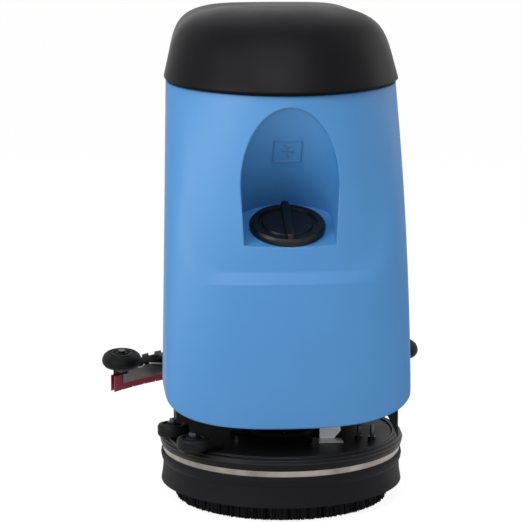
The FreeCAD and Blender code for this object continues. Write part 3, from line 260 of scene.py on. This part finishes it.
def screws(name, surface, body, places, radius=4.0):
    """Button-head screws with a round socket; places are (point in mm, normal)."""
    r = radius
    bm = bmesh.new()
    head = [(r, -0.3), (r, 0.1 * r), (0.86 * r, 0.38 * r), (0.5 * r, 0.52 * r), (0.42 * r, 0.52 * r),
            (0.40 * r, 0.2 * r), (0, 0.2 * r)]
    for point, normal in places:
        revolve(bm, head, frame_on(point, normal), 16)
    return place_piece(name, as_mesh(bm, name), surface, body)


def around(centre, axis, circle, count, start=0.0):
    """Points on a circle round an axis, in mm."""
    placed = frame_on((0, 0, 0), axis)
    made = []
    for k in range(count):
        t = math.radians(start) + 2 * math.pi * k / count
        step = placed.to_3x3() @ Vector((circle * math.cos(t), circle * math.sin(t), 0))
        made.append((Vector(centre) + step, axis))
    return made


def corner_mm(node):
    """Lowest and highest corner of a piece, in mm."""
    low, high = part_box(node)
    return Vector(low) / MM, Vector(high) / MM


def bent_wire(bm, points, radius, sides=8):
    """A round wire of the given radius through points in mm, closed at both ends."""
    points = [Vector(p) for p in points]
    rings = []
    for k, point in enumerate(points):
        ahead = points[min(k + 1, len(points) - 1)] - points[max(k - 1, 0)]
        placed = frame_on(point, ahead, (0.3, 0.2, 1))
        turns = [2 * math.pi * n / sides for n in range(sides)]
        rings.append([bm.verts.new(placed @ Vector((radius * MM * math.cos(t), radius * MM * math.sin(t), 0)))
                      for t in turns])
    for low, top in zip(rings, rings[1:]):
        for n in range(sides):
            m = (n + 1) % sides
            bm.faces.new([low[n], low[m], top[m], top[n]])
    bm.faces.new(rings[0][::-1])
    bm.faces.new(rings[-1])


FILAMENTS_PER_TUFT = 9


def tuft_row(points, faces, draw, centre, ring, top_z, pitch, thick):
    """One circle of tufts, of three-sided filaments fanned out towards the floor."""
    count = int(2 * math.pi * ring / pitch)
    for k in range(count):
        turn = 2 * math.pi * (k + 0.5 * (int(ring) % 2)) / count
        for _ in range(FILAMENTS_PER_TUFT):
            a, spread = draw.uniform(0, 2 * math.pi), draw.uniform(0.2, 1.0)
            reach = Vector((math.cos(a), math.sin(a), 0)) * spread
            root = Vector((ring, 0, top_z + 1.5)) + 2.6 * reach
            tip = root + 3.4 * reach
            tip.z = draw.uniform(0.2, 2.0)
            base = len(points)
            for end, width in ((root, thick), (tip, 0.8 * thick)):
                for side in range(3):
                    b = a + side * 2 * math.pi / 3
                    p = end + Vector((width * math.cos(b), width * math.sin(b), 0))
                    p.rotate(Matrix.Rotation(turn, 3, "Z"))
                    points.append((centre + p) * MM)
            for side in range(3):
                n = (side + 1) % 3
                faces.append((base + side, base + n, base + 3 + n, base + 3 + side))
            faces.append((base + 5, base + 4, base + 3))


# Tufts of the disc in mm: close rows at its edge, then wider rows down to its open centre.
EDGE_ROWS, EDGE_INSET, EDGE_STEP, EDGE_PITCH, EDGE_THICK = 3, 12, 5, 4.6, 1.4
FIELD_INSET, FIELD_STEP, FIELD_PITCH, FIELD_THICK, OPEN_CENTRE_R = 36, 13, 13.5, 1.1, 92


def disc_bristles():
    """Rows of filament tufts set in the brush block, closest together round the edge."""
    # A real disc has several thousand fine filaments: they are drawn coarser here, thicker and fewer.
    low, high = corner_mm("brush_bristles")
    centre = Vector(((low.x + high.x) / 2, (low.y + high.y) / 2, 0))
    outer = (high.x - low.x) / 2
    draw = random.Random(11)
    points, faces = [], []
    for step in range(EDGE_ROWS):
        tuft_row(points, faces, draw, centre, outer - EDGE_INSET - EDGE_STEP * step, high.z, EDGE_PITCH,
                 EDGE_THICK)
    ring = outer - FIELD_INSET
    while ring > OPEN_CENTRE_R:
        tuft_row(points, faces, draw, centre, ring, high.z, FIELD_PITCH, FIELD_THICK)
        ring -= FIELD_STEP
    mesh = bpy.data.meshes.new("disc_bristles")
    mesh.from_pydata(points, [], faces)
    piece = place_piece("disc_bristles", mesh, bristle_black, "brush")
    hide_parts("brush_bristles")


# Ridges of the deck rim, in mm: how far in from the rim, how far below the top, and how thick.
RIM_RIDGES = ((21.5, 0.2, 1.5), (12, 0.2, 1.5), (3.6, 4.4, 1.5), (0.4, 11.5, 1.6))


def deck_beads():
    """Fine ridges cast round the rim of the deck."""
    low, high = corner_mm("deck_pan")
    centre = Vector(((low.x + high.x) / 2, (low.y + high.y) / 2, 0))
    rim = (high.x - low.x) / 2
    bm = bmesh.new()
    for inset, below, thick in RIM_RIDGES:
        turns = [2 * math.pi * k / 8 for k in range(9)]
        profile = [(rim - inset + thick * math.cos(t), thick * math.sin(t)) for t in turns]
        revolve(bm, profile, frame_on(centre + Vector((0, 0, high.z - below)), (0, 0, 1)), 180)
    bmesh.ops.remove_doubles(bm, verts=bm.verts, dist=1e-6)
    place_piece("deck_beads", as_mesh(bm, "deck_beads"), moulded_black, "deck", smooth=True)


# The back of the filler recess is half a leaning barrel; these are its sizes in mm.
RECESS_HALF_W, RECESS_DEPTH = 110.0, 86.0
RECESS_FOOT_Y, RECESS_FOOT_Z, RECESS_LEAN = -46.0, 690.0, 0.70
SIGN_Z = 808.5             # height of the middle of the sign


def on_recess(x, up, proud):
    """Point on the recess back, up from the middle of the sign along the slope, proud of it."""
    slope = math.hypot(1.0, RECESS_LEAN)
    z = SIGN_Z + up / slope
    y = RECESS_FOOT_Y - RECESS_LEAN * (z - RECESS_FOOT_Z)
    y -= RECESS_DEPTH * (1 - math.sqrt(1 - (x / RECESS_HALF_W) ** 2))
    return Vector((x, y + BRUSH_AXIS_Y - proud / slope, z - proud * RECESS_LEAN / slope)) * MM


def recess_patch(bm, x0, x1, y0, y1, proud=1.5):
    """Raised rectangle that follows the curve of the recess back."""
    parts = max(1, round((x1 - x0) / 6))
    xs = [x0 + (x1 - x0) * k / parts for k in range(parts + 1)]
    edge = ((y0, -0.5), (y0, proud), (y1, proud), (y1, -0.5))
    corners = [[bm.verts.new(on_recess(x, y, h)) for y, h in edge] for x in xs]
    for left, right in zip(corners, corners[1:]):
        for k in range(3):
            bm.faces.new([left[k], right[k], right[k + 1], left[k + 1]])
        bm.faces.new([left[3], right[3], right[0], left[0]])
    bm.faces.new(corners[0])
    bm.faces.new(corners[-1][::-1])


# The sign is made of patches (left, right, low, high), in mm from its middle.
SIGN_HALF, SIGN_LINE = 32.0, 2.6
SIGN_INNER = SIGN_HALF - SIGN_LINE
SIGN_FRAME = ((-SIGN_HALF, SIGN_HALF, SIGN_INNER, SIGN_HALF),
              (-SIGN_HALF, SIGN_HALF, -SIGN_HALF, -SIGN_INNER),
              (-SIGN_HALF, -SIGN_INNER, -SIGN_INNER, SIGN_INNER),
              (SIGN_INNER, SIGN_HALF, -SIGN_INNER, SIGN_INNER))
SIGN_TAP = ((-9, 10, 13, 16.5), (-2, 3, 4, 13), (-12, 13, -1, 4), (9, 13, -6, -1))
SIGN_DROP = ((-0.6, 1.6, -10, -7.5), (-2.2, 3.2, -12.5, -10), (-3.2, 4.2, -18, -12.5),
             (-1.8, 2.8, -19.5, -18))


def recess_pictogram():
    """Raised tap-and-drop sign in a square frame, moulded in the back of the filler recess."""
    bm = bmesh.new()
    for patch in SIGN_FRAME + SIGN_TAP + SIGN_DROP:
        recess_patch(bm, *patch)
    place_piece("recess_pictogram", as_mesh(bm, "recess_pictogram"), tank_blue, "chassis")


# ------------------------------------------------------------------------ squeegee latch wires
def turned_about(axis, degrees, y, z):
    """Turn round a line through (0, y, z) mm along an axis."""
    there = Matrix.Translation((0, y, z))
    return there @ Matrix.Rotation(math.radians(degrees), 4, axis) @ there.inverted()


# The squeegee is drawn straight and lowered, then swung on its bolt, drooped at its hinge and lifted
# by its arm to where it is parked. Each pivot is behind the brush axis and above the floor, in mm.
LIFTED, ARM_PIVOT = 23.0, (270, 200)
DROOPED, HINGE_PIVOT = -14.5, (562, 104)
SWUNG, BOLT_PLACE = 3.3, (596, 0)
PARKED = (Matrix.Translation((0, BRUSH_AXIS_Y, 0)) @ turned_about("X", LIFTED, *ARM_PIVOT)
          @ turned_about("X", DROOPED, *HINGE_PIVOT) @ turned_about("Z", SWUNG, *BOLT_PLACE))
FRONT_PLATE_R, FRONT_PLATE_Y = 648.5, -1.7     # outer face of the front clamp plate and its centre
# Bends of the latch wires: degrees round the plate, height, and how far proud of it, in mm.
LATCH_LEVER = ((25.9, 54, -4), (25.6, 55.5, 0.5), (25.0, 54.5, 1.8), (23.5, 50, 1.8), (22.2, 46.2, 1.8),
               (21.4, 44.2, 1.8), (21.1, 43, 0.8))
LATCH_HOOK = ((27.0, 55.5, -4), (27.2, 55.2, 0.4), (27.5, 53, 2.0), (28.1, 51.6, 2.2), (28.6, 51.9, 2.0),
              (28.9, 53, 1.2))


def on_front_plate(degrees, z, proud):
    """Point on the outer face of the front clamp plate, in mm, where the squeegee is parked."""
    t = math.radians(degrees)
    r = FRONT_PLATE_R - proud
    return PARKED @ Vector((r * math.sin(t), FRONT_PLATE_Y + r * math.cos(t), z))


def latch_wires():
    """Over-centre wire latch at each end of the front clamp plate, with its hook."""
    bm = bmesh.new()
    for side in (-1, 1):
        for run, radius in ((LATCH_LEVER, 1.6), (LATCH_HOOK, 1.7)):
            bent_wire(bm, [on_front_plate(side * a, z, proud) for a, z, proud in run], radius)
    place_piece("latch_wires", as_mesh(bm, "latch_wires"), zinc_steel, "squeegee_head", smooth=True)


# ------------------------------------------------------------------------------ rear fittings
PANEL_BACK, PANEL_UP = 0.3267, 0.9451          # the control panel's normal leans back by these shares
PANEL_NORMAL = Vector((0, PANEL_BACK, PANEL_UP))
PANEL_RISE = (0, PANEL_UP, -PANEL_BACK)        # direction up the panel


# Places on the panel in mm from its middle: the dial, and the first cell of the charge gauge.
DIAL_X, DIAL_UP, DOT_CIRCLE = 118, 10, 27
GAUGE_X, GAUGE_UP, CELL_PITCH = 37, 10, 6


def on_console(x, up, proud=0.0):
    """Point on the control panel, from its middle, in mm."""
    return Vector(PANEL_MIDDLE) + Vector((x, PANEL_UP * up, -PANEL_BACK * up)) + proud * PANEL_NORMAL


def console_marks():
    """Charge gauge behind the window, symbols by the switches and a ring of dots round the dial."""
    def tile(bm, x, up, width, height, proud=0.0, thick=0.25):
        outline = [(-width / 2, -height / 2), (width / 2, -height / 2), (width / 2, height / 2),
                   (-width / 2, height / 2)]
        placed = frame_on(on_console(x, up, proud), PANEL_NORMAL, PANEL_RISE)
        slab_on(bm, outline, placed, thick)

    gauge = {"gauge_green": (segment_green, range(2, 7)), "gauge_amber": (segment_amber, range(0, 2))}
    for name, (surface, cells) in gauge.items():
        bm = bmesh.new()
        for k in cells:
            tile(bm, GAUGE_X + CELL_PITCH * k, GAUGE_UP, 4.4, 14, proud=1.5)
        place_piece(name, as_mesh(bm, name), surface, "chassis")
    bm = bmesh.new()
    for x in (-58, -14):
        tile(bm, x, 34, 2, 7)
    for k in range(9):
        t = math.radians(-120 + 30 * k)
        dot = 1.6 + 0.3 * k
        tile(bm, DIAL_X + DOT_CIRCLE * math.sin(t), DIAL_UP + DOT_CIRCLE * math.cos(t), dot, dot)
    place_piece("console_symbols", as_mesh(bm, "console_symbols"), printed_white, "chassis")


def fasteners():
    """Screws of the hinge, the two hose flanges, the console, the motor and the wheels."""
    back = (0, 1, 0)
    screws("hinge_screws_tank", zinc_steel, "chassis",
           [((x, TANK_REAR_Y + 4.5, 971), back) for x in (-72, -36, 0, 36, 72)], 4.5)
    screws("hinge_screws_lid", zinc_steel, "lid", [((x, LID_REAR_Y, 1005), back) for x in (-10, 10)], 3.5)
    for name, x, z, circle in (("drain", 128, 700, 28), ("vacuum", -128, 660, 30)):
        screws(name + "_flange_screws", zinc_steel, "chassis",
               around((x, TANK_REAR_Y + 6.4, z), back, circle, 4, 45), 3.2)
    screws("console_screws", zinc_steel, "chassis",
           [(on_console(x, up), PANEL_NORMAL) for x in (-152, 152) for up in (-62, 62)], 4.0)
    screws("motor_flange_screws", zinc_steel, "deck",
           around((0, BRUSH_AXIS_Y, 156), (0, 0, 1), 71, 6, 30), 4.0)
    for side, body in ((-1, "wheel_left"), (1, "wheel_right")):
        screws("hub_bolts_" + body, zinc_steel, body,
               around((side * 212, AXLE_Y, 100), (side, 0, 0), 42, 5), 5.0)


# -------------------------------------------------------------------------------------- studio
def white_to_camera(tree, lit, share, strength=1.0):
    """Mixes in plain white where it is seen directly or in metal and glass; share 1 hides shadows."""
    path = add(tree, "ShaderNodeLightPath")
    direct = add(tree, "ShaderNodeMath", {0: path.outputs["Is Camera Ray"],
                                          1: path.outputs["Is Glossy Ray"]}, operation="MAXIMUM")
    seen = add(tree, "ShaderNodeMath", {0: direct.outputs[0],
                                        1: path.outputs["Is Transmission Ray"]}, operation="MAXIMUM")
    part = add(tree, "ShaderNodeMath", {0: seen.outputs[0], 1: share}, operation="MULTIPLY")
    white = add(tree, "ShaderNodeEmission", {"Color": (1, 1, 1, 1), "Strength": strength})
    return add(tree, "ShaderNodeMixShader", {0: part.outputs[0], 1: lit, 2: white.outputs[0]})


FLOOR_SHARE, FLOOR_GLOW = 0.74, 1.22     # how much of the floor's own shade the camera misses
WORLD_FILL = 0.36                        # level light from all round


def studio():
    """Pale floor and world that the camera sees as white, and five soft lamps."""
    floor_material = bpy.data.materials.new("painted_studio_floor")
    floor_material.use_nodes = True
    tree = floor_material.node_tree
    tree.nodes.clear()
    paint = add(tree, "ShaderNodeBsdfDiffuse", {"Color": colour("F4F4F2")})
    mixed = white_to_camera(tree, paint.outputs[0], FLOOR_SHARE, FLOOR_GLOW)
    add(tree, "ShaderNodeOutputMaterial", {"Surface": mixed.outputs[0]})
    bpy.ops.mesh.primitive_circle_add(vertices=64, radius=32, fill_type="NGON", location=(0, 8, -0.0004))
    floor = bpy.context.object
    floor.name = "studio_floor"
    floor.data.materials.append(floor_material)

    world = bpy.data.worlds.new("studio_world")
    world.use_nodes = True
    tree = world.node_tree
    tree.nodes.clear()
    fill = add(tree, "ShaderNodeBackground", {"Color": (1, 1, 1, 1), "Strength": WORLD_FILL})
    both = white_to_camera(tree, fill.outputs[0], 1.0)
    add(tree, "ShaderNodeOutputWorld", {"Surface": both.outputs[0]})
    scene.world = world

    def softbox(name, place, aim, size, watts):
        """Rectangular lamp at a place, turned to a point; both in metres."""
        data = bpy.data.lights.new(name, "AREA")
        data.shape = "RECTANGLE"
        data.size, data.size_y = size
        data.energy = watts
        lamp = bpy.data.objects.new(name, data)
        scene.collection.objects.link(lamp)
        lamp.location = place
        lamp.rotation_euler = (Vector(aim) - Vector(place)).to_track_quat("-Z", "Y").to_euler()

    softbox("key_left", (-2.6, -2.3, 1.95), (0, -0.2, 0.95), (1.4, 1.4), 60)
    softbox("upper_front", (-0.2, -2.0, 2.3), (0, -0.4, 0.9), (1.6, 0.7), 22)
    softbox("front_fill", (1.0, -4.4, 2.4), (0, 0, 1.0), (2.0, 1.4), 5)
    softbox("right_rim", (3.0, 0.6, 1.8), (0, 0, 0.6), (1.2, 2.2), 12)
    softbox("overhead", (0, 0.3, 3.8), (0, 0, 0), (2.4, 2.4), 12)


def camera():
    """Long lens at standing height, in front of the machine and a little to its right."""
    data = bpy.data.cameras.new("camera")
    data.lens = 150.8
    data.sensor_width = 36
    data.clip_end = 100
    eye = bpy.data.objects.new("camera", data)
    scene.collection.objects.link(eye)
    eye.location = (-0.4782, -5.1726, 1.392)
    eye.rotation_euler = (math.radians(90 - 9.86), 0, math.radians(-5.06))
    scene.camera = eye


disc_bristles()
recess_pictogram()
latch_wires()
deck_beads()
console_marks()
fasteners()
studio()
camera()
